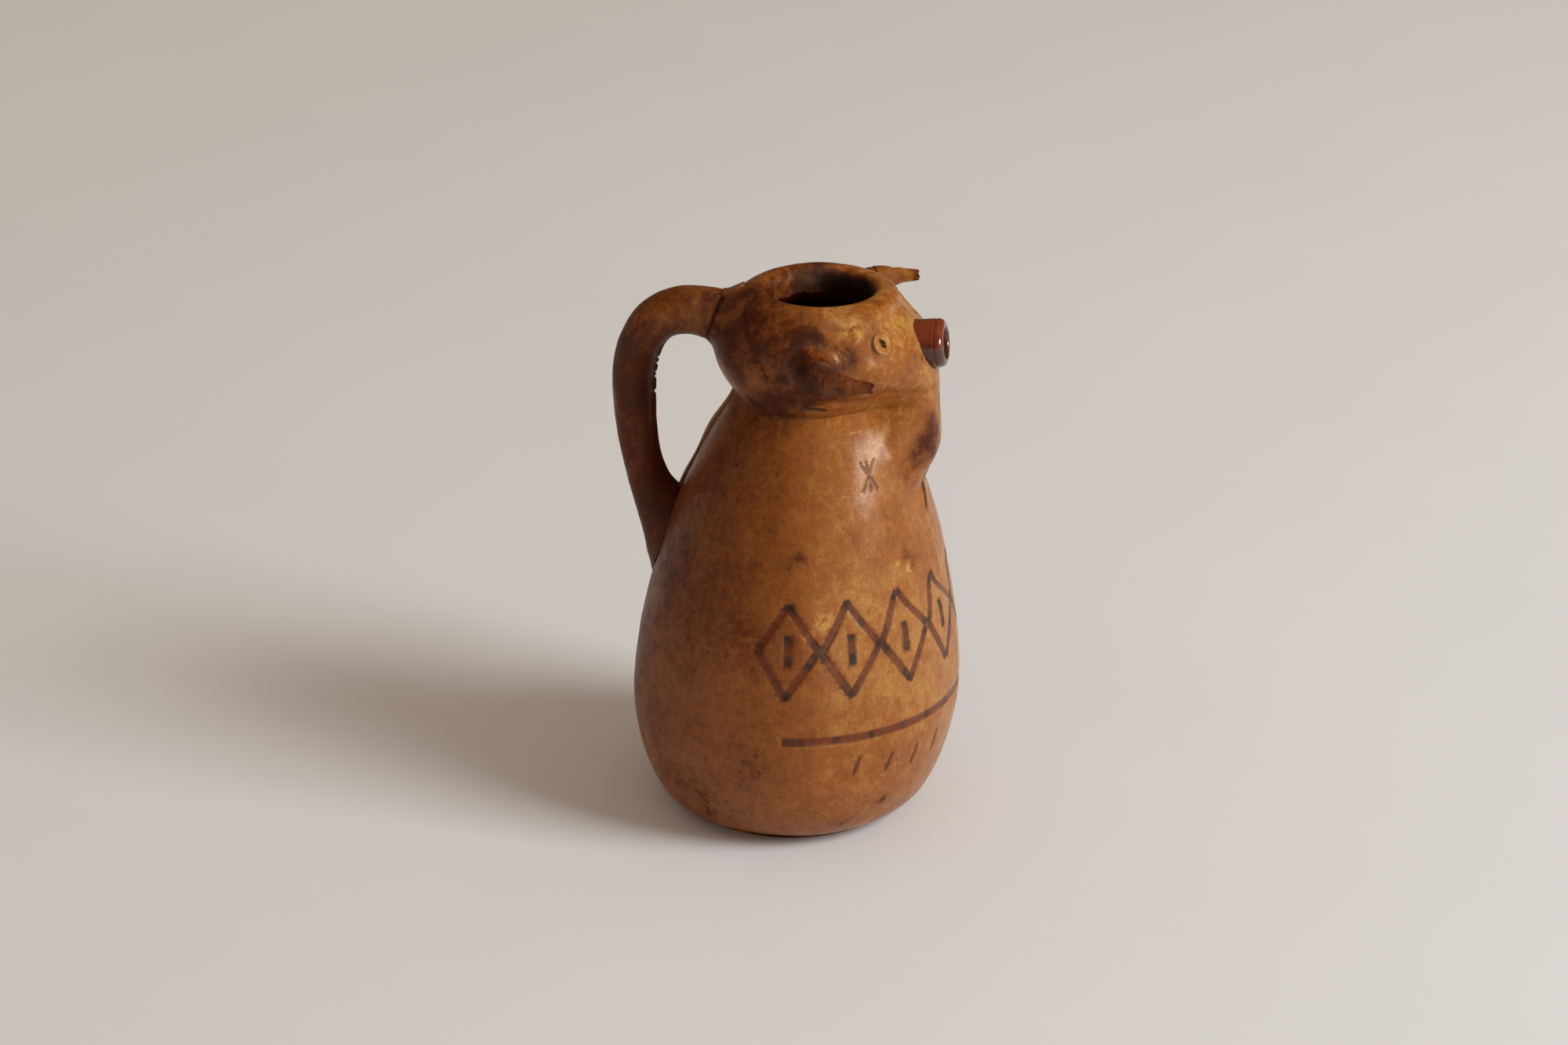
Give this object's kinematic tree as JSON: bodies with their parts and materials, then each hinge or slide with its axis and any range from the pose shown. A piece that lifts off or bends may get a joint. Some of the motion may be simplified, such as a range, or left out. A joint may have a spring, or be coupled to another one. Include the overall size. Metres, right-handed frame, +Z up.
{
  "type": "leather-covered pitcher",
  "caption": "Earthenware jug dressed in moulded leather in the shape of a bull, with a wide filling mouth, a snout-like pouring spout and a back handle.",
  "frame": {"origin": "centre of the base, on the surface that the pitcher stands on", "axes": "+Z up, +X towards the pouring spout (the bull's snout), -X towards the handle, +Y towards the bull's left"},
  "size_m": [0.161, 0.1514, 0.254],
  "materials": {
    "glazed_earthenware": "glossy red-brown glaze",
    "body_hide": "waxed, mottled ochre and umber",
    "handle_hide": "waxed, dark umber",
    "horn_hide": "waxed, dark umber",
    "eye_hide": "pale, less waxed",
    "sole_hide": "flat brown"
  },
  "bodies": {
    "root": {"jug_liner": "glazed_earthenware", "pouring_spout": "glazed_earthenware", "handle_core": "glazed_earthenware", "left_cover": "body_hide", "right_cover": "body_hide", "left_mouth_edge": "body_hide", "right_mouth_edge": "body_hide", "left_horn_tip": "horn_hide", "right_horn_tip": "horn_hide", "left_eye": "eye_hide", "right_eye": "eye_hide", "handle_sleeve": "handle_hide", "handle_tab": "handle_hide", "base_disc": "sole_hide"}
  },
  "joints": []
}
